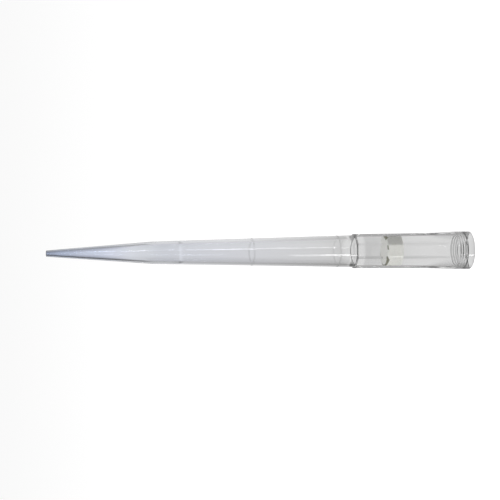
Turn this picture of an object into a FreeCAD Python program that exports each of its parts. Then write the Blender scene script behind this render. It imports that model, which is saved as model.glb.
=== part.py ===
"""Extra-long filter pipette tip: a clear moulded body and the porous plug pressed into its collar.

The tip stands on its mouth. The origin is the centre of the mouth's rim, +Z runs along the axis towards
the orifice, and every length is in millimetres. The body is what a mould makes: the shape of the cavity,
less the shape of the core pin that forms the bore. The collar is round at the mouth, where it grips the
nozzle, and runs out into a faceted sleeve that reaches the shoulder.
"""
import FreeCAD, Part
import math
import os

# Lengths along the axis.
overall_length = 102.0      # rim to orifice
collar_length = 28.8        # rim to shoulder, the part that the pipette's nozzle enters
cone_length = 24.8          # knee to orifice
round_length = 4.0          # rim to where the collar's facets begin to run out of the round
runout_length = 8.0         # from there to full facets

# Socket, from the nozzle outwards: sealing rings that grip it, and a wider lead-in at the rim.
seal_radius = 3.56          # crests of the sealing rings, the radius that the nozzle meets
seal_height = 0.16
seal_land = 0.08            # flat crest along the axis
seal_flank = 0.13           # slope on each side of the crest, along the axis
seal_pitch = 0.60
seal_count = 3
seal_start = 2.18           # rim to the middle of the first crest
lead_in_depth = 1.50
lead_in_clearance = 0.28    # from the grooves between the rings out to the lead-in
lead_in_cone = 0.28         # length of the cone that closes the lead-in down to the grooves
lead_in_taper = 0.08        # widening of the lead-in towards the rim
lip_wall = 0.44             # at the rim

# Outside of the collar, each step taken inwards. A faceted size is measured to the middle of a flat.
facet_count = 8
mouth_draft = 0.02          # over the round length
runout_drop = 0.32          # from the round to the full flats
sleeve_draft = 0.13         # from there to the shoulder
shoulder_step = 0.25        # from the flats to the barrel
rim_rounding = 0.25
shoulder_chamfer = 0.10

# Outside of the barrel and the cone.
knee_radius = 2.60
orifice_radius = 0.70
orifice_rounding = 0.10

# Wall past the socket, measured square to the axis.
collar_wall = 0.76
barrel_wall = 0.70          # just past the shoulder
knee_wall = 0.62
orifice_wall = 0.34
bore_step_length = 0.20     # cone that joins the collar's bore to the barrel's, from the shoulder up

# Graduation rings: fine raised bands at the levels of these volumes.
marked_volumes = (200.0, 500.0, 1000.0)     # microlitres, which are cubic millimetres
ring_width = 0.30
ring_height = 0.07
ring_root = 0.10            # how far a ring is rooted in the wall

# Filter plug.
plug_start = 17.5           # rim to the near end of the plug
plug_length = 3.9
plug_chamfer = 0.20
plug_clearance = 0.0        # pressed in, so it fills the bore

overrun = 1.0               # how far a shape runs past what it cuts or joins

facets_z = round_length + runout_length
shoulder_z = collar_length
knee_z = overall_length - cone_length
step_end_z = shoulder_z + bore_step_length
seal_end_z = seal_start + seal_pitch * (seal_count - 1) + seal_land / 2 + seal_flank

groove_radius = seal_radius + seal_height
lead_in_end_radius = groove_radius + lead_in_clearance
lead_in_radius = lead_in_end_radius + lead_in_taper
mouth_radius = lead_in_radius + lip_wall
round_end_radius = mouth_radius - mouth_draft
collar_flat = round_end_radius - runout_drop
collar_end_flat = collar_flat - sleeve_draft
barrel_radius = collar_end_flat - shoulder_step
barrel_bore = barrel_radius - barrel_wall
knee_bore = knee_radius - knee_wall
orifice_bore = orifice_radius - orifice_wall


def between(z, z_low, size_low, z_high, size_high):
    """Size at height z on the straight taper from size_low at z_low to size_high at z_high."""
    return size_low + (size_high - size_low) * (z - z_low) / (z_high - z_low)


def barrel_outside(z):
    """Outer radius at height z of the barrel, the cone and the barrel's line carried on downwards."""
    if z < knee_z:
        return between(z, shoulder_z, barrel_radius, knee_z, knee_radius)
    return between(z, knee_z, knee_radius, overall_length, orifice_radius)


def sleeve_flat(z):
    """Distance from the axis to a flat of the faceted sleeve at height z."""
    return between(z, facets_z, collar_flat, shoulder_z, collar_end_flat)


def bore_flat(z):
    """Distance from the axis to a flat of the bore at height z."""
    return sleeve_flat(z) - collar_wall


def level_of(volume):
    """Height at which the chamber, filled from the orifice, holds this volume.

    A taper of radius r0 + k t holds pi / (3 k) (r^3 - r0^3) between its radii r0 and r, so each level
    is the cube root of a volume.
    """
    cone_slope = (knee_bore - orifice_bore) / cone_length
    cone_volume = math.pi / (3 * cone_slope) * (knee_bore ** 3 - orifice_bore ** 3)
    if volume <= cone_volume:
        radius = (orifice_bore ** 3 + 3 * cone_slope * volume / math.pi) ** (1 / 3)
        return overall_length - (radius - orifice_bore) / cone_slope
    barrel_slope = (barrel_bore - knee_bore) / (knee_z - shoulder_z)
    rest = volume - cone_volume
    radius = (knee_bore ** 3 + 3 * barrel_slope * rest / math.pi) ** (1 / 3)
    return knee_z - (radius - knee_bore) / barrel_slope


def bend(before, corner, after, rounding):
    """Start, middle and end of the arc of this radius that rounds a corner between its neighbours.

    A sharp corner has no rounding, and is its own start, middle and end.
    """
    if rounding == 0:
        return corner, corner, corner
    back = (before - corner).normalize()
    ahead = (after - corner).normalize()
    half_angle = back.getAngle(ahead) / 2
    reach = rounding / math.tan(half_angle)
    depth = rounding / math.sin(half_angle) - rounding
    inward = (back + ahead).normalize()
    return corner + back * reach, corner + inward * depth, corner + ahead * reach


def turned(corners):
    """Solid turned about Z from an outline of (radius, height, rounding) corners."""
    points = [FreeCAD.Vector(radius, 0, z) for radius, z, rounding in corners]
    after = points[1:] + points[:1]
    bends = [bend(points[i - 1], points[i], after[i], corners[i][2]) for i in range(len(points))]
    edges = []
    for i, (start, middle, end) in enumerate(bends):
        if corners[i][2] > 0:
            edges.append(Part.Arc(start, middle, end).toShape())
        edges.append(Part.makeLine(end, bends[(i + 1) % len(bends)][0]))
    outline = Part.Face(Part.Wire(edges))
    return outline.revolve(FreeCAD.Vector(0, 0, 0), FreeCAD.Vector(0, 0, 1), 360)


def around(radius, z, turn):
    """Point at this radius and height, turned by a share of one facet from a corner of the sleeve."""
    angle = 2 * math.pi / facet_count * (turn + 0.5)
    return FreeCAD.Vector(radius * math.cos(angle), radius * math.sin(angle), z)


def faceted(flat, z):
    """Level outline with one straight edge for each facet, each at the distance flat from the axis."""
    corner_radius = flat / math.cos(math.pi / facet_count)
    points = [around(corner_radius, z, i) for i in range(facet_count)]
    return Part.Wire([Part.makeLine(points[i - 1], points[i]) for i in range(facet_count)])


def rounded(radius, z):
    """Level circle cut into one arc for each facet, so that it lofts corner to corner into facets."""
    return Part.Wire([Part.Arc(around(radius, z, i - 1), around(radius, z, i - 0.5),
                               around(radius, z, i)).toShape() for i in range(facet_count)])


def lofted(sections):
    """Closed solid of straight-ruled walls through level outlines."""
    return Part.makeLoft(sections, True, True)


def cavity():
    """Outside of the body, filled solid: round mouth, faceted sleeve, barrel and cone."""
    mouth = turned([
        (0, 0, 0),
        (mouth_radius, 0, rim_rounding),
        (round_end_radius, round_length, 0),
        (0, round_length, 0),
    ])
    chamfer_z = shoulder_z - shoulder_chamfer
    sleeve = lofted([
        rounded(round_end_radius, round_length),
        faceted(collar_flat, facets_z),
        faceted(sleeve_flat(chamfer_z), chamfer_z),
        faceted(sleeve_flat(chamfer_z) - shoulder_chamfer, shoulder_z),
    ])
    barrel = turned([
        (0, shoulder_z - overrun, 0),
        (barrel_radius, shoulder_z - overrun, 0),
        (barrel_radius, shoulder_z, 0),
        (knee_radius, knee_z, 0),
        (orifice_radius, overall_length, orifice_rounding),
        (0, overall_length, 0),
    ])
    return mouth.fuse([sleeve, barrel])


def core_pin():
    """Shape of the bore: lead-in, grooves between the sealing rings, faceted sleeve, barrel and cone."""
    socket_corners = [
        (0, -overrun, 0),
        (lead_in_radius, -overrun, 0),
        (lead_in_radius, 0, 0),
        (lead_in_end_radius, lead_in_depth, 0),
        (groove_radius, lead_in_depth + lead_in_cone, 0),
    ]
    for i in range(seal_count):
        low_z = seal_start + i * seal_pitch - seal_land / 2
        socket_corners += [
            (groove_radius, low_z - seal_flank, 0),
            (seal_radius, low_z, 0),
            (seal_radius, low_z + seal_land, 0),
            (groove_radius, low_z + seal_land + seal_flank, 0),
        ]
    runout_z = max(round_length, seal_end_z + seal_height)
    socket_corners += [(groove_radius, runout_z, 0), (0, runout_z, 0)]
    sleeve = lofted([
        rounded(groove_radius, runout_z),
        faceted(bore_flat(facets_z), facets_z),
        faceted(bore_flat(shoulder_z), shoulder_z),
    ])
    chamber = turned([
        (0, shoulder_z, 0),
        (bore_flat(shoulder_z), shoulder_z, 0),
        (barrel_bore, step_end_z, 0),
        (knee_bore, knee_z, 0),
        (orifice_bore, overall_length, 0),
        (orifice_bore, overall_length + overrun, 0),
        (0, overall_length + overrun, 0),
    ])
    return turned(socket_corners).fuse([sleeve, chamber])


def ring_levels():
    """Height of each graduation ring: one for every marked volume that the barrel and cone hold."""
    levels = [level_of(volume) for volume in marked_volumes]
    return [z for z in levels if z - ring_width > shoulder_z]


def graduation_ring(z):
    """Raised band with sloping flanks, centred at height z and rooted in the wall."""
    low_z, high_z = z - ring_width / 2, z + ring_width / 2
    crest_radius = barrel_outside(z) + ring_height
    return turned([
        (barrel_outside(low_z) - ring_root, low_z, 0),
        (barrel_outside(low_z), low_z, 0),
        (crest_radius, low_z + ring_height, 0),
        (crest_radius, high_z - ring_height, 0),
        (barrel_outside(high_z), high_z, 0),
        (barrel_outside(high_z) - ring_root, high_z, 0),
    ])


def tip_body():
    """The whole moulding."""
    rings = [graduation_ring(z) for z in ring_levels()]
    return cavity().fuse(rings).cut(core_pin()).removeSplitter()


def filter_plug():
    """Porous plug, squeezed to the facets of the bore, with chamfered ends."""
    low_z, high_z = plug_start, plug_start + plug_length

    def section(z, inset):
        return faceted(bore_flat(z) - plug_clearance - inset, z)

    return lofted([
        section(low_z, plug_chamfer),
        section(low_z + plug_chamfer, 0),
        section(high_z - plug_chamfer, 0),
        section(high_z, plug_chamfer),
    ])


os.makedirs("parts", exist_ok=True)
pieces = {"tip_body": tip_body(), "filter_plug": filter_plug()}
for name, shape in pieces.items():
    shape.exportStep(f"parts/{name}.step")
    print(f"{name}: {len(shape.Solids)} solid, {shape.Volume:.2f} mm3, valid {shape.isValid()}")
print("rings at", ", ".join(f"{z:.2f}" for z in ring_levels()), "mm above the rim")
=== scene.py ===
"""Extra-long filter pipette tip, standing on its mouth in a pale studio.

The clear body and the porous plug take the places of their CAD nodes, with finer surfaces of the same
shape. Their sizes are in millimetres, and become metres where a mesh or a material is made. The floor
and the lamps are in metres.
"""
import math

import bpy
import numpy as np
from mathutils import Matrix, Vector


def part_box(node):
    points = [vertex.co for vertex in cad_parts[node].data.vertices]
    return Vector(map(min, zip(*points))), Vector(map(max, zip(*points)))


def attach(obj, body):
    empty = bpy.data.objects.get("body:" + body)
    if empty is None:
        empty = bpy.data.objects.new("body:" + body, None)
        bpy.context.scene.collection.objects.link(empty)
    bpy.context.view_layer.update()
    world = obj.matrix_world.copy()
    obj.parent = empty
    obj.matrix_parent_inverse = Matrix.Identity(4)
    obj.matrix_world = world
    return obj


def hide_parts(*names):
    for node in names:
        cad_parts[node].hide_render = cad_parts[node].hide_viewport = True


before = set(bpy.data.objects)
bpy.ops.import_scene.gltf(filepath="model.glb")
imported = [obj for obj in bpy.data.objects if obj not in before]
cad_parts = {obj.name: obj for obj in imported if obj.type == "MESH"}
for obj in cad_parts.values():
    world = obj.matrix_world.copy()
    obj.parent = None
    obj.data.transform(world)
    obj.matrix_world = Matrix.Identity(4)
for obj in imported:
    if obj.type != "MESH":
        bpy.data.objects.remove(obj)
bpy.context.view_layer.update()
MM = 0.001


# ---- Tip body -------------------------------------------------------------------------------------
# The real piece is one moulding of clear polypropylene, formed between a polished cavity and a long
# core pin. The collar is round at the mouth and runs out into eight flats, and the barrel and the
# cone past the shoulder are turned forms, so the wall is even and the bore follows the outside.

facets = 8
columns_per_facet = 56
longest_row = 2.0                       # rows of the mesh lie no further apart than this
sharp_edge = math.radians(22)           # faces that meet at more than this keep a crisp edge

# Heights above the rim.
tip_length = (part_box("tip_body")[1].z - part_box("tip_body")[0].z) / MM
round_end, flats_start = 4.0, 12.0      # the collar is round up to the one, all flats from the other
shoulder, knee = 28.8, 77.2
knee_blend = 0.2                        # the two tapers run into each other this far from the knee

# Outside, as radii or as distances from the axis to a flat.
rim_rounding = 0.25
mouth_radius, round_radius = 4.52, 4.50
sleeve_flat, sleeve_end_flat = 4.18, 4.05
barrel_radius, knee_radius, orifice_radius = 3.80, 2.60, 0.70
outer_corner = 0.80                     # rounding of the moulded corners between the flats

# Graduation rings: height, how far the crest stands out, half the width, length of each slope.
graduations = ((32.92, 0.06, 0.14, 0.04), (53.69, 0.05, 0.14, 0.04), (71.41, 0.010, 0.22, 0.19))

# Bore.
rim_bore, lead_in_radius = 4.076, 4.00
lead_in_end, groove_start = 1.48, 1.80  # a cone closes the lead-in between these heights
groove_radius, seal_radius = 3.72, 3.56
last_seal, seal_pitch, seal_count = 3.38, 0.60, 3
bore_flat_start, bore_flat_end = 3.42, 3.29     # where the flats start, and at the shoulder
bore_corner = 0.60
step_radius, step_length = 3.30, 0.20   # cone from the collar's bore to the barrel's
barrel_bore, orifice_bore = 3.10, 0.36
bore_below_knee, bore_above_knee = 1.985, 1.975


def facet_section(angle, flat, corner):
    """Distance from the axis to an eight-sided outline whose corners are rounded.

    Within a facet, at the angle a from its middle, a flat lies at flat / cos a. The corner's arc has
    its centre on the line through the corner, at c = (flat - corner) / cos(half a facet), and past
    the arc's start the distance is c cos d + sqrt(corner^2 - (c sin d)^2), d the angle to the corner.
    """
    half = np.pi / facets
    middle_angle = np.abs((angle + half) % (2 * half) - half)
    centre = (flat - corner) / np.cos(half)
    to_corner = half - middle_angle
    arc = centre * np.cos(to_corner) + np.sqrt(
        np.maximum(corner ** 2 - (centre * np.sin(to_corner)) ** 2, 0))
    on_arc = middle_angle > np.arctan2(centre * np.sin(half), flat)
    return np.where(on_arc, arc, flat / np.cos(middle_angle))


def turned_surface(stations, angle, corner):
    """Grid of points: at each station's height the radius is (1 - s) round + s faceted.

    A station holds its height, its round radius, the distance to its flats, and the share s. The
    surface never stands outside the round radius, which cuts the corners off where it is the smaller.
    """
    height, round_part, flat, share = [column[:, None] for column in stations.T]
    radius = (1 - share) * round_part + share * facet_section(angle[None, :], flat, corner)
    radius = np.minimum(radius, round_part)
    return np.stack([radius * np.cos(angle), radius * np.sin(angle), height + 0 * radius], -1)


def spread(stations, step):
    """Stations with more put evenly between those that lie further apart than the step."""
    stations = np.asarray(stations, float)
    counts = np.maximum(np.ceil(np.abs(np.diff(stations[:, 0])) / step), 1).astype(int)
    places = np.concatenate([i + np.arange(n) / n for i, n in enumerate(counts)] + [[len(counts)]])
    return np.stack([np.interp(places, np.arange(len(stations)), column) for column in stations.T], 1)


def plain_stations(*places):
    """Stations of a round outline, from (height, radius) pairs."""
    return [[height, radius, radius, 0] for height, radius in places]


def rounded_rim(rounding, outer, steps):
    """Stations of a quarter circle from the rim's face, at height 0, up and out to the outer radius.

    At the turn t from -90 to 0 degrees the height is r + r sin t and the radius outer - r + r cos t.
    """
    turn = np.radians(np.linspace(-90, 0, steps))
    heights = rounding + rounding * np.sin(turn)
    return plain_stations(*zip(heights, outer - rounding + rounding * np.cos(turn)))


def outer_radius(height):
    """Radius of the barrel and the cone at a height: two straight tapers that meet at the knee."""
    return np.interp(height, [shoulder, knee, tip_length], [barrel_radius, knee_radius, orifice_radius])


def bore_flat(height):
    """Distance from the axis to the flats of the collar's bore at a height: one straight taper."""
    return np.interp(height, [flats_start, shoulder], [bore_flat_start, bore_flat_end])


def ring_stations(height, proud, half_width, slope):
    """Stations over one graduation ring: a band with a level crest between two slopes."""
    heights = height + np.array([-half_width, slope - half_width, half_width - slope, half_width])
    return plain_stations(*zip(heights, outer_radius(heights) + proud * np.array([0, 1, 1, 0])))


def closed_mesh(name, grid, close_rows):
    """Mesh of quads over a grid that closes on itself around, and also end to end where it is a ring.

    Otherwise the first and the last row are each closed by a fan of triangles to a point on the axis.
    """
    rows, columns = grid.shape[:2]
    points = grid.reshape(-1, 3) * MM
    last = rows if close_rows else rows - 1
    i, j = np.meshgrid(np.arange(last), np.arange(columns), indexing="ij")
    above, beside = (i + 1) % rows, (j + 1) % columns
    quads = np.stack([i * columns + j, i * columns + beside,
                      above * columns + beside, above * columns + j], -1).reshape(-1, 4)
    faces = quads.tolist()
    if not close_rows:
        around = np.arange(columns)
        ahead = (around + 1) % columns
        low, high = len(points), len(points) + 1
        points = np.vstack([points, [[0, 0, points[0, 2]], [0, 0, points[-1, 2]]]])
        top = (rows - 1) * columns
        faces += np.stack([np.full(columns, low), ahead, around], 1).tolist()
        faces += np.stack([np.full(columns, high), top + around, top + ahead], 1).tolist()
    mesh = bpy.data.meshes.new(name)
    mesh.from_pydata(points.tolist(), [], faces)
    mesh.update()
    piece = bpy.data.objects.new(name, mesh)
    bpy.context.scene.collection.objects.link(piece)
    return piece


# Outside from the rim up, then bore from the orifice down. Stations that lie a few hundredths apart
# are the small breaks on the mould's edges.
outside = rounded_rim(rim_rounding, mouth_radius, 9)
outside += [[round_end, round_radius, sleeve_flat, 0],
            [flats_start, round_radius, sleeve_flat, 1],
            [shoulder - 0.08, round_radius, sleeve_end_flat, 1],
            [shoulder - 0.02, round_radius, sleeve_end_flat - 0.02, 1],
            [shoulder, round_radius, sleeve_end_flat - 0.06, 1]]
outside += plain_stations((shoulder, barrel_radius + 0.03), (shoulder + 0.03, barrel_radius))
for level, proud, half_width, slope in graduations:
    outside += ring_stations(level, proud, half_width, slope)
for height in (knee - knee_blend, knee + knee_blend, tip_length - 0.12):
    outside += plain_stations((height, outer_radius(height)))
outside += plain_stations((tip_length - 0.04, orifice_radius - 0.035),
                          (tip_length, orifice_radius - 0.10))

bore = plain_stations((tip_length, orifice_bore + 0.01), (tip_length - 0.03, orifice_bore))
bore += plain_stations((knee + knee_blend, bore_above_knee), (knee - knee_blend, bore_below_knee))
bore += plain_stations((shoulder + step_length, barrel_bore),
                       (shoulder + step_length - 0.03, barrel_bore + 0.01),
                       (shoulder + 0.03, step_radius - 0.02),
                       (shoulder, step_radius))
bore += [[shoulder - 0.01, groove_radius, bore_flat(shoulder), 1],
         [flats_start, groove_radius, bore_flat(flats_start), 1],
         [round_end, groove_radius, bore_flat(flats_start), 0]]
seal_half = ((0.03, seal_radius), (0.05, seal_radius + 0.01),
             (0.16, groove_radius - 0.01), (0.19, groove_radius))
for crest in last_seal - seal_pitch * np.arange(seal_count):
    bore += plain_stations(*[(crest + reach, radius) for reach, radius in reversed(seal_half)])
    bore += plain_stations(*[(crest - reach, radius) for reach, radius in seal_half])
bore += plain_stations((groove_start, groove_radius), (groove_start - 0.03, groove_radius + 0.01),
                       (lead_in_end + 0.03, lead_in_radius - 0.01), (lead_in_end, lead_in_radius),
                       (0.06, rim_bore), (0.0, rim_bore + 0.034))

angle = np.linspace(0, 2 * np.pi, facets * columns_per_facet, endpoint=False)
outside_grid = turned_surface(spread(outside, longest_row), angle, outer_corner)
bore_grid = turned_surface(spread(bore, longest_row), angle, bore_corner)
body = closed_mesh("tip_body_clear", np.concatenate([outside_grid, bore_grid]), True)
body.data.shade_smooth()
body.data.set_sharp_from_angle(angle=sharp_edge)


def colour_ramp(*steps):
    """Colour Ramp node, straight from step to step, each a (place from 0 to 1, colour) pair."""
    ramp = nodes.new("ShaderNodeValToRGB")
    stops = ramp.color_ramp.elements
    while len(stops) < len(steps):
        stops.new(0.5)
    for stop, (position, colour) in zip(stops, steps):
        stop.position = position
        stop.color = (*colour, 1)
    return ramp


# The plastic is clear with a faint blue of its own. Along the tip, given at shares of its length, the
# ramp also darkens it in uneven steps and most at the orifice: that part is painted shade, standing in
# for how dark the clear wall looks there under the room's light.
# Long, shallow ripples from the flow of the melt run along the polished surface.
plastic = bpy.data.materials.new("clear_polypropylene")
plastic.use_nodes = True
nodes, links = plastic.node_tree.nodes, plastic.node_tree.links
shader = nodes["Principled BSDF"]
shader.inputs["Transmission Weight"].default_value = 1.0
shader.inputs["IOR"].default_value = 1.49
shader.inputs["Roughness"].default_value = 0.0
tint_and_painted_shade = colour_ramp((0.30, (0.98, 0.98, 0.98)), (0.50, (0.955, 0.96, 0.98)), (0.65, (0.94, 0.95, 0.985)),
                   (0.694, (0.93, 0.943, 0.98)), (0.735, (0.915, 0.93, 0.97)),
                   (0.77, (0.95, 0.965, 0.998)), (0.807, (0.938, 0.955, 0.995)),
                   (0.842, (0.868, 0.888, 0.95)), (0.885, (0.83, 0.86, 0.94)),
                   (0.925, (0.85, 0.885, 0.975)), (0.97, (0.80, 0.85, 0.965)),
                   (0.985, (0.755, 0.80, 0.91)), (1.0, (0.67, 0.715, 0.825)))
place = nodes.new("ShaderNodeTexCoord")
apart = nodes.new("ShaderNodeSeparateXYZ")
along = nodes.new("ShaderNodeMapRange")
along.inputs["From Max"].default_value = tip_length * MM
links.new(place.outputs["Object"], apart.inputs["Vector"])
links.new(apart.outputs["Z"], along.inputs["Value"])
links.new(along.outputs["Result"], tint_and_painted_shade.inputs["Fac"])
links.new(tint_and_painted_shade.outputs["Color"], shader.inputs["Base Color"])

ripples_across, ripples_along = 900, 25     # to the metre
ripple_depth = 0.016
stretch = nodes.new("ShaderNodeVectorMath")
stretch.operation = "MULTIPLY"
stretch.inputs[1].default_value = (ripples_across, ripples_across, ripples_along)
ripple = nodes.new("ShaderNodeTexNoise")
ripple.inputs["Scale"].default_value = 1.0
ripple.inputs["Detail"].default_value = 1.5
wave = nodes.new("ShaderNodeBump")
wave.inputs["Strength"].default_value = 1.0
wave.inputs["Distance"].default_value = ripple_depth * MM
links.new(place.outputs["Object"], stretch.inputs[0])
links.new(stretch.outputs["Vector"], ripple.inputs["Vector"])
links.new(ripple.outputs["Fac"], wave.inputs["Height"])
links.new(wave.outputs["Normal"], shader.inputs["Normal"])
body.data.materials.append(plastic)

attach(body, "root")
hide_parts("tip_body")


# ---- Filter plug ----------------------------------------------------------------------------------
# The real plug is sintered from grains of polyethylene into a stiff porous rod, cut to length and
# pressed up the collar's bore, where the wall squeezes it to the shape of the eight flats.

plug_low, plug_high = [corner.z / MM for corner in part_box("filter_plug")]
plug_gap = 0.025            # keeps the plug's surface off the bore's
plug_chamfer = 0.20
plug_columns = 24           # to a facet
past_corners = 1.1          # of the distance to a flat: further out than a corner, so none is cut off

plug_stations = []
for height, inset in ((plug_low, plug_chamfer), (plug_low + plug_chamfer, 0),
                      (plug_high - plug_chamfer, 0), (plug_high, plug_chamfer)):
    flat = bore_flat(height) - plug_gap - inset
    plug_stations.append([height, past_corners * flat, flat, 1])
plug_angle = np.linspace(0, 2 * np.pi, facets * plug_columns, endpoint=False)
plug_grid = turned_surface(spread(plug_stations, longest_row / 2), plug_angle, bore_corner)
plug = closed_mesh("filter_plug_porous", plug_grid, False)
plug.data.shade_smooth()
plug.data.set_sharp_from_angle(angle=sharp_edge)

porous = bpy.data.materials.new("sintered_polyethylene")
porous.use_nodes = True
nodes, links = porous.node_tree.nodes, porous.node_tree.links
shader = nodes["Principled BSDF"]
shader.inputs["Roughness"].default_value = 0.85
place = nodes.new("ShaderNodeTexCoord")
grains = nodes.new("ShaderNodeTexNoise")
grains.inputs["Scale"].default_value = 3600
grains.inputs["Detail"].default_value = 3.0
grain_shade = colour_ramp((0.34, (0.78, 0.78, 0.73)), (0.60, (0.94, 0.94, 0.90)))
grain_height = 0.03
grit = nodes.new("ShaderNodeBump")
grit.inputs["Strength"].default_value = 0.5
grit.inputs["Distance"].default_value = grain_height * MM
links.new(place.outputs["Object"], grains.inputs["Vector"])
links.new(grains.outputs["Fac"], grain_shade.inputs["Fac"])
links.new(grains.outputs["Fac"], grit.inputs["Height"])
links.new(grit.outputs["Normal"], shader.inputs["Normal"])


def worked_out(operation, *values):
    """Result of one sum between numbers and sockets, as a Math node in the material or world at hand."""
    node = nodes.new("ShaderNodeMath")
    node.operation = operation
    for socket, value in zip(node.inputs, values):
        if isinstance(value, (int, float)):
            socket.default_value = value
        else:
            links.new(value, socket)
    return node.outputs[0]


# Painted shade: the plug isn't squeezed evenly all round, so in places a gap in shade lies between its
# upper edge and the bore, and that shade is painted on the plug's colour as a dark band about a circle.
# The band's half width in mm is given at each turn, in degrees from the side of -Y towards +X.
gap_shade_radius = 3.25
gap_shade_softness = 0.15
painted_gap_shade = (0.24, 0.24, 0.17, 1)
gap_shade_widths = ((-92, 0.25), (-60, 0.45), (-30, 0.75), (-26, 0.0), (3, 0.0), (6, 0.35), (24, 0.35),
               (28, 0.0), (50, 0.0), (56, 0.7), (92, 0.4), (98, 0.0))
apart = nodes.new("ShaderNodeSeparateXYZ")
links.new(place.outputs["Object"], apart.inputs["Vector"])
x, y, z = [apart.outputs[axis] for axis in "XYZ"]
from_axis = worked_out("SQRT", worked_out("ADD", *[worked_out("POWER", side, 2.0) for side in (x, y)]))
from_gap_shade = worked_out("ADD",
                       worked_out("ABSOLUTE", worked_out("SUBTRACT", from_axis, gap_shade_radius * MM)),
                       worked_out("ABSOLUTE", worked_out("SUBTRACT", z, plug_high * MM)))
turn = worked_out("ARCTAN2", x, worked_out("MULTIPLY", y, -1.0))
gap_shade_steps = [(0.5 + degrees / 360, (width, width, width)) for degrees, width in gap_shade_widths]
gap_shade_width = colour_ramp(*gap_shade_steps)
links.new(worked_out("ADD", worked_out("DIVIDE", turn, 2 * math.pi), 0.5), gap_shade_width.inputs["Fac"])
into_gap_shade = worked_out("SUBTRACT", worked_out("MULTIPLY", gap_shade_width.outputs["Color"], MM), from_gap_shade)
soft_edge = nodes.new("ShaderNodeMapRange")
soft_edge.inputs["From Max"].default_value = gap_shade_softness * MM
# Here the painted shade of the gap is mixed into the grain's colour, where the band reaches.
gap_shade_mix = nodes.new("ShaderNodeMix")
gap_shade_mix.data_type = "RGBA"
plain_colour, painted_shade_colour, mixed_colour = gap_shade_mix.inputs[6], gap_shade_mix.inputs[7], gap_shade_mix.outputs[2]
painted_shade_colour.default_value = painted_gap_shade
links.new(into_gap_shade, soft_edge.inputs["Value"])
links.new(soft_edge.outputs["Result"], gap_shade_mix.inputs["Factor"])
links.new(grain_shade.outputs["Color"], plain_colour)
links.new(mixed_colour, shader.inputs["Base Color"])
plug.data.materials.append(porous)

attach(plug, "root")
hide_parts("filter_plug")


# ---- Floor ----------------------------------------------------------------------------------------
# A sheet of pale paper that the tip stands on. To the camera it is mostly plain white, and the rest
# keeps the soft shadow. The clear plastic shows the room in its place.

half_floor = 3.0
white_share = 0.8
floor_mesh = bpy.data.meshes.new("floor")
floor_mesh.from_pydata([(-half_floor, -half_floor, 0), (half_floor, -half_floor, 0),
                        (half_floor, half_floor, 0), (-half_floor, half_floor, 0)], [], [(0, 1, 2, 3)])
floor = bpy.data.objects.new("floor", floor_mesh)
bpy.context.scene.collection.objects.link(floor)
floor.visible_glossy = False
floor.visible_transmission = False
floor.visible_shadow = False
paper = bpy.data.materials.new("pale_floor")
paper.use_nodes = True
nodes, links = paper.node_tree.nodes, paper.node_tree.links
shader = nodes["Principled BSDF"]
shader.inputs["Base Color"].default_value = (0.9, 0.9, 0.9, 1)
shader.inputs["Roughness"].default_value = 0.9
white = nodes.new("ShaderNodeEmission")
white.inputs["Color"].default_value = (1, 1, 1, 1)
white.inputs["Strength"].default_value = 1.0
path = nodes.new("ShaderNodeLightPath")
mix = nodes.new("ShaderNodeMixShader")
links.new(worked_out("MULTIPLY", path.outputs["Is Camera Ray"], white_share), mix.inputs["Fac"])
links.new(shader.outputs["BSDF"], mix.inputs[1])
links.new(white.outputs["Emission"], mix.inputs[2])
links.new(mix.outputs["Shader"], nodes["Material Output"].inputs["Surface"])
floor_mesh.materials.append(paper)


# ---- Studio ---------------------------------------------------------------------------------------
# A pale room with a card behind the tip, and narrow strips for the lines of light along the barrel.
# Clear plastic shows the card, the walls and the strips. Dull surfaces are lit by a softer room and a
# large soft box, and the camera sees plain white.

world = bpy.data.worlds.new("room")
bpy.context.scene.world = world
world.use_nodes = True
nodes, links = world.node_tree.nodes, world.node_tree.links
nodes.clear()
place = nodes.new("ShaderNodeTexCoord")
apart = nodes.new("ShaderNodeSeparateXYZ")
links.new(place.outputs["Generated"], apart.inputs["Vector"])


def tone_along(axis, *steps):
    """Grey level of the room along one axis of direction, straight from step to step.

    Each step is a (direction from -1 to 1, level) pair.
    """
    spread_out = nodes.new("ShaderNodeMapRange")
    spread_out.inputs["From Min"].default_value = -1
    ramp = colour_ramp(*[((direction + 1) / 2, (level, level, level)) for direction, level in steps])
    links.new(apart.outputs[axis], spread_out.inputs["Value"])
    links.new(spread_out.outputs["Result"], ramp.inputs["Fac"])
    return ramp.outputs["Color"]


# The card: its level from side to side, from the camera's side to the back, and from low to high.
across = tone_along("X", (-1, 0.52), (-0.64, 0.64), (-0.31, 0.76), (-0.15, 0.83), (-0.06, 0.98),
                    (0.07, 0.98), (0.15, 0.88), (0.25, 0.87), (0.6, 0.875), (1, 0.71))
back = tone_along("Y", (-1, 0.33), (-0.3, 0.42), (0, 0.52), (0.12, 0.60), (0.3, 0.80), (0.45, 0.97),
                  (1, 0.97))
upright = tone_along("Z", (-1, 0.35), (-0.56, 0.42), (-0.46, 0.70), (-0.40, 0.79), (-0.31, 0.79),
                     (-0.298, 0.74), (-0.285, 0.62), (-0.275, 0.62), (-0.263, 0.72), (-0.23, 0.77),
                     (-0.195, 0.78), (-0.178, 0.80), (-0.163, 1.0), (-0.155, 0.92), (-0.145, 0.73),
                     (-0.128, 0.62), (-0.10, 0.58), (-0.03, 0.60), (0.07, 0.08), (1, 0.03))

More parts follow.
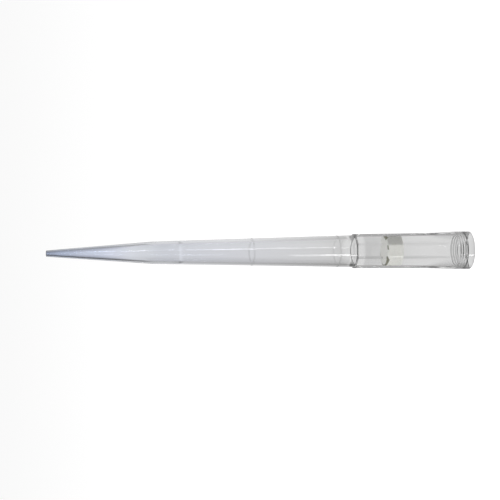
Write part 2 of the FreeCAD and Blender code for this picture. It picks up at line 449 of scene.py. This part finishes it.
# Two shades on the card to its sides, lower ones at its far ends, and a faint glow low on one side.
shade_side = tone_along("X", (-1, 0.85), (-0.55, 0.85), (-0.2, 0.0), (0.1, 0.0), (0.35, 0.3), (1, 0.3))
shade_high = tone_along("Z", (-1, 0.0), (-0.18, 0.0), (-0.14, 0.45), (-0.11, 0.85), (-0.04, 0.85),
                        (0.04, 0.0), (1, 0.0))
far_side = tone_along("X", (-1, 0.35), (-0.5, 0.3), (-0.36, 0.0), (0.33, 0.0), (0.45, 0.4), (1, 0.45))
far_low = tone_along("Z", (-1, 0.0), (-0.45, 0.0), (-0.36, 1.0), (-0.27, 1.0), (-0.21, 0.2),
                     (-0.19, 0.0), (1, 0.0))
glow_side = tone_along("X", (-1, 0.0), (0.02, 0.0), (0.12, 0.10), (0.3, 0.22), (1, 0.22))
glow_high = tone_along("Z", (-1, 0.0), (-0.31, 0.0), (-0.25, 1.0), (-0.20, 1.0), (-0.17, 0.0), (1, 0.0))
shaded = worked_out("SUBTRACT", 1.0, worked_out("MULTIPLY", shade_side, shade_high))
shaded = worked_out("SUBTRACT", shaded, worked_out("MULTIPLY", far_side, far_low))
shaded = worked_out("ADD", shaded, worked_out("MULTIPLY", glow_side, glow_high))
card = worked_out("MULTIPLY", worked_out("MULTIPLY", across, back),
                  worked_out("MULTIPLY", upright, shaded))

# The other walls of the room, which show where the card is darker than they are.
walls = tone_along("Y", (-1, 0.40), (-0.3, 0.50), (-0.1, 0.56), (0.08, 0.56), (0.30, 0.2), (0.4, 0.0),
                   (1, 0.0))
wall_high = tone_along("Z", (-1, 0.1), (-0.6, 0.5), (-0.42, 1.0), (-0.02, 1.0), (0.06, 0.55),
                       (0.3, 0.35), (1, 0.2))
card = worked_out("MAXIMUM", card, worked_out("MULTIPLY", walls, wall_high))

# The softer room that lights dull surfaces, darker on one side so that the plug's facets differ.
soft_level = 1.28
soft = tone_along("X", (-1, 0.28), (-0.5, 0.55), (-0.1, 1.0), (0.2, 0.88), (0.5, 0.03), (1, 0.0))
soft = worked_out("MULTIPLY", soft, soft_level)

path = nodes.new("ShaderNodeLightPath")
clear_ray = worked_out("MAXIMUM", path.outputs["Is Transmission Ray"], path.outputs["Is Glossy Ray"])
off_dull = worked_out("LESS_THAN", path.outputs["Diffuse Depth"], 0.5)
lit = nodes.new("ShaderNodeMix")
lit.data_type = "FLOAT"
seen = nodes.new("ShaderNodeMix")
seen.data_type = "FLOAT"
seen.inputs["B"].default_value = 1.0
background = nodes.new("ShaderNodeBackground")
background.inputs["Color"].default_value = (1, 1, 1, 1)
output = nodes.new("ShaderNodeOutputWorld")
links.new(worked_out("MULTIPLY", clear_ray, off_dull), lit.inputs["Factor"])
links.new(soft, lit.inputs["A"])
links.new(card, lit.inputs["B"])
links.new(lit.outputs["Result"], seen.inputs["A"])
links.new(path.outputs["Is Camera Ray"], seen.inputs["Factor"])
links.new(seen.outputs["Result"], background.inputs["Strength"])
links.new(background.outputs["Background"], output.inputs["Surface"])


def lamp_panel(name, turn, rise, distance, width, height, radiance):
    """Rectangular lamp that faces the tip's mouth, at the turn from the camera's side towards +X.

    The rise is the height of its middle, which is below the floor where it is negative: clear plastic
    doesn't show the floor, so it does show such a lamp. Its power is radiance x pi x area, so that its
    brightness in a reflection is set directly.
    """
    lamp = bpy.data.lights.new(name, "AREA")
    lamp.shape = "RECTANGLE"
    lamp.size, lamp.size_y = width, height
    lamp.energy = radiance * math.pi * width * height
    holder = bpy.data.objects.new(name, lamp)
    bpy.context.scene.collection.objects.link(holder)
    holder.location = (distance * math.sin(math.radians(turn)),
                       -distance * math.cos(math.radians(turn)), rise)
    holder.rotation_euler = holder.location.to_track_quat("Z", "Y").to_euler()
    holder.visible_camera = False
    return holder


# The strips on the side of -X make the lower line of light and the glint on the lip, and those on the
# side of +X the upper line and the one along the cone. The faint ones let a line fade out at its end.
low_turn, high_turn, strip_distance = -31, 30, 0.60
lamp_panel("strip_low", low_turn, -0.1065, strip_distance, 0.115, 0.023, 6.0)
lamp_panel("strip_low_faint", low_turn, -0.086, strip_distance, 0.115, 0.018, 2.4)
lamp_panel("strip_lip", low_turn, -0.245, strip_distance, 0.115, 0.060, 6.5)
lamp_panel("strip_high", high_turn, -0.0775, strip_distance, 0.050, 0.045, 4.8)
lamp_panel("strip_high_faint", high_turn, -0.0285, strip_distance, 0.050, 0.053, 1.0)
lamp_panel("strip_cone", high_turn, 0.069, strip_distance, 0.040, 0.010, 6.5)
soft_box = lamp_panel("soft_box", -20, 0.53, 0.53, 0.90, 0.70, 10.3)
soft_box.visible_glossy = False
soft_box.visible_transmission = False


# ---- Camera ---------------------------------------------------------------------------------------
# It looks along +Y from a little above, turned on its side so that the tip lies across the frame with
# the orifice at the left.

tilt = math.radians(12.9)
distance = 459.6 * MM
aim_height = 54.09 * MM
off_axis = 0.46 * MM
lean = math.radians(0.45)
look = Vector((0, math.cos(tilt), -math.sin(tilt)))
right = Vector((0, -math.sin(tilt), -math.cos(tilt)))
up = right.cross(look)
camera_data = bpy.data.cameras.new("camera")
camera_data.lens = 141.1
camera = bpy.data.objects.new("camera", camera_data)
bpy.context.scene.collection.objects.link(camera)
pose = Matrix((right, up, -look)).transposed().to_4x4()
target = Vector((0, 0, aim_height)) + off_axis * up
stand = Matrix.Translation(target - distance * look)
camera.matrix_world = stand @ pose @ Matrix.Rotation(-lean, 4, "Z")
bpy.context.scene.camera = camera
bpy.context.scene.view_settings.view_transform = "Standard"

# Light crosses and grazes many clear walls before it leaves, and none of what they show is blurred.
light_bounces = 128
cycles = bpy.context.scene.cycles
cycles.blur_glossy = 0
cycles.max_bounces = light_bounces
cycles.transmission_bounces = light_bounces
cycles.glossy_bounces = light_bounces
